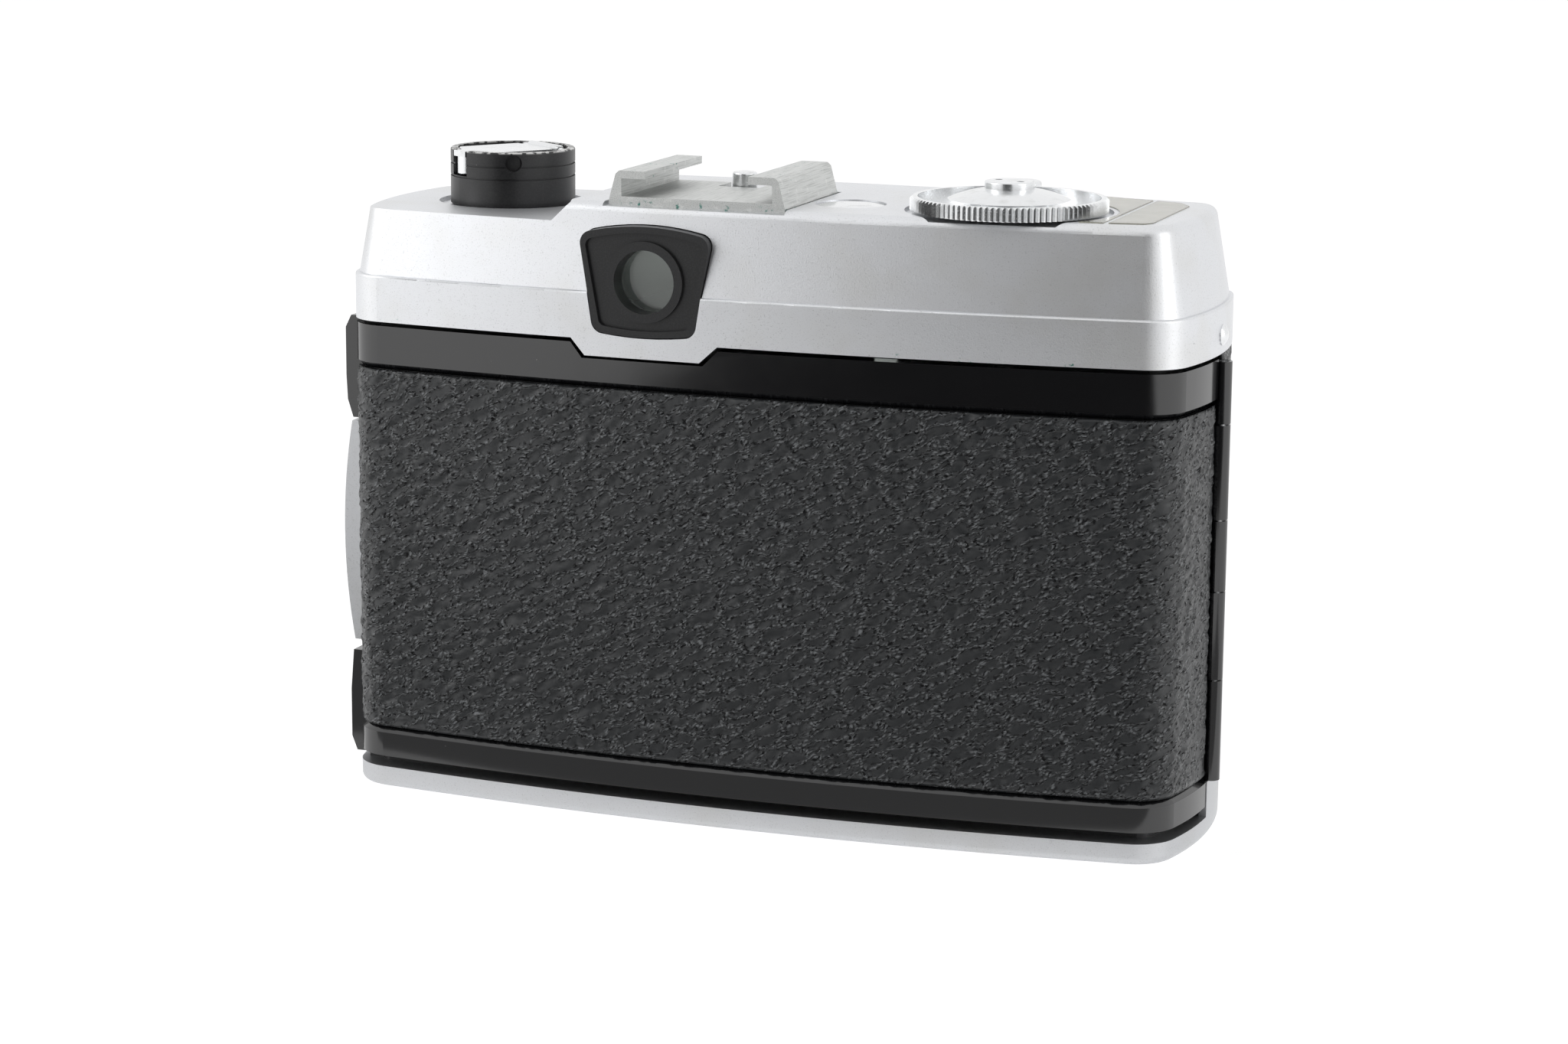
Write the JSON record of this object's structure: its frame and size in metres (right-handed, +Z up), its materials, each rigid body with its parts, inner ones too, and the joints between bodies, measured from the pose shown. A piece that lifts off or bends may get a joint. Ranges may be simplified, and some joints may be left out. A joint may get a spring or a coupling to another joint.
{
  "type": "compact film camera",
  "caption": "Compact 35 mm film camera with fixed lens, satin chrome covers, black pebbled skin, swinging back door, folding rewind crank, thumb wheel advance and accessory shoe.",
  "frame": {"origin": "mouth of the tripod socket, on the underside of the base plate", "axes": "+X towards the rewind knob end, +Y towards the back door, -Y along the lens, +Z up"},
  "size_m": [0.1084, 0.059, 0.078],
  "materials": {
    "satin_chrome": "satin plated, fine grained",
    "bright_chrome": "polished plating",
    "shoe_aluminium": "drawn, lightly oxidised",
    "black_enamel": "gloss black enamel",
    "black_alloy": "satin black",
    "satin_alloy": "turned and satin plated",
    "leatherette": "pebbled black leathercloth",
    "lens_glass": "polished",
    "clear_plastic": "aged clear plastic",
    "film_black": "satin black",
    "spring_steel": "bare steel"
  },
  "bodies": {
    "camera_body": {"base_plate": "satin_chrome", "tripod_socket": "satin_chrome", "base_screw_1": "satin_chrome", "base_screw_2": "satin_chrome", "base_screw_3": "satin_chrome", "body_casting": "black_alloy", "body_leatherette": "leatherette", "body_hinge_leaf": "black_enamel", "hinge_pin": "bright_chrome", "latch_pin": "bright_chrome", "latch_guard_upper": "black_enamel", "latch_guard_lower": "black_enamel", "top_cover": "satin_chrome", "counter_window": "clear_plastic", "scale_window": "clear_plastic", "end_rivet_1": "bright_chrome", "end_rivet_2": "bright_chrome", "eyepiece_frame": "black_alloy", "eyepiece_ring": "black_alloy", "eyepiece_lens": "lens_glass", "finder_tube": "black_alloy", "finder_front_bezel": "bright_chrome", "finder_front_window": "lens_glass", "frame_light_bezel": "bright_chrome", "frame_light_window": "lens_glass", "accessory_shoe": "shoe_aluminium", "shoe_pin": "bright_chrome", "shutter_collar": "bright_chrome", "shutter_spring": "spring_steel", "lens_mount_ring": "satin_chrome", "shutter_housing": "black_alloy", "aperture_blades": "spring_steel", "shutter_blades": "black_alloy", "rear_element": "lens_glass"},
    "door": {"back_door": "black_enamel", "door_leatherette": "leatherette", "door_hinge_leaf": "black_enamel", "pressure_plate": "film_black", "pressure_spring": "spring_steel"},
    "latch": {"door_latch": "satin_chrome"},
    "rewind_slide": {"rewind_sleeve": "spring_steel"},
    "rewind": {"rewind_knob": "black_alloy", "rewind_shaft": "spring_steel", "crank_pin": "bright_chrome"},
    "crank": {"crank_arm": "bright_chrome", "crank_grip": "bright_chrome"},
    "wheel": {"advance_wheel": "bright_chrome", "wheel_cap": "bright_chrome", "wheel_nut": "bright_chrome", "sprocket": "spring_steel"},
    "spool": {"take_up_spool": "film_black"},
    "counter": {"counter_disc": "black_alloy"},
    "rewind_release": {"rewind_button": "bright_chrome"},
    "shutter_release": {"shutter_button": "bright_chrome"},
    "speed_selector": {"speed_ring": "satin_alloy"},
    "aperture_selector": {"aperture_ring": "satin_alloy"},
    "focus_helicoid": {"focus_ring": "satin_alloy"},
    "lens_head": {"lens_barrel": "satin_alloy", "front_cell": "black_alloy", "front_element": "lens_glass"}
  },
  "joints": [
    {"name": "door_hinge", "type": "hinge", "parent": "camera_body", "child": "door", "pos_m": [-0.0531, -0.0004, 0.032], "axis": [0, 0, 1], "range_deg": [0, 110]},
    {"name": "latch_pivot", "type": "hinge", "parent": "camera_body", "child": "latch", "pos_m": [0.0526, -0.0006, 0.0311], "axis": [0, 0, -1], "range_deg": [0, 30], "stiffness_Nm_per_rad": 0.01},
    {"name": "rewind_lift", "type": "slide", "parent": "camera_body", "child": "rewind_slide", "axis": [0, 0, 1], "range_m": [0, 0.006]},
    {"name": "rewind_turn", "type": "hinge", "parent": "rewind_slide", "child": "rewind", "pos_m": [0.0364, -0.0015, 0.074], "axis": [0, 0, 1], "continuous": true},
    {"name": "crank_fold", "type": "hinge", "parent": "rewind", "child": "crank", "pos_m": [0.0337, -0.00522, 0.07725], "axis": [0.809, -0.5878, 0], "range_deg": [0, 140]},
    {"name": "advance_turn", "type": "hinge", "parent": "camera_body", "child": "wheel", "pos_m": [-0.0286, 0.0048, 0.074], "axis": [0, 0, 1], "continuous": true},
    {"name": "spool_turn", "type": "hinge", "parent": "camera_body", "child": "spool", "pos_m": [-0.0403, -0.0045, 0.032], "axis": [0, 0, 1], "continuous": true},
    {"name": "counter_turn", "type": "hinge", "parent": "camera_body", "child": "counter", "pos_m": [-0.044, 0.001, 0.07], "axis": [0, 0, 1], "continuous": true},
    {"name": "rewind_release_press", "type": "slide", "parent": "camera_body", "child": "rewind_release", "axis": [0, 0, -1], "range_m": [0, 0.0006], "stiffness_N_per_m": 300},
    {"name": "shutter_press", "type": "slide", "parent": "camera_body", "child": "shutter_release", "axis": [0, 0, -1], "range_m": [0, 0.0012], "stiffness_N_per_m": 600, "deforming": ["shutter_spring"]},
    {"name": "speed_turn", "type": "hinge", "parent": "camera_body", "child": "speed_selector", "pos_m": [0, -0.018, 0.0325], "axis": [0, -1, 0], "range_deg": [-60, 60]},
    {"name": "aperture_turn", "type": "hinge", "parent": "camera_body", "child": "aperture_selector", "pos_m": [0, -0.018, 0.0325], "axis": [0, -1, 0], "range_deg": [-45, 45]},
    {"name": "focus_turn", "type": "hinge", "parent": "camera_body", "child": "focus_helicoid", "pos_m": [0, -0.018, 0.0325], "axis": [0, -1, 0], "range_deg": [0, 150]},
    {"name": "lens_travel", "type": "slide", "parent": "camera_body", "child": "lens_head", "axis": [0, -1, 0], "range_m": [0, 0.0021]}
  ],
  "couplings": [
    {"joint": "spool_turn", "follows": "advance_turn", "ratio": 0.9},
    {"joint": "counter_turn", "follows": "advance_turn", "ratio": 0.025},
    {"joint": "lens_travel", "follows": "focus_turn", "m_per_rad": 0.00076}
  ]
}
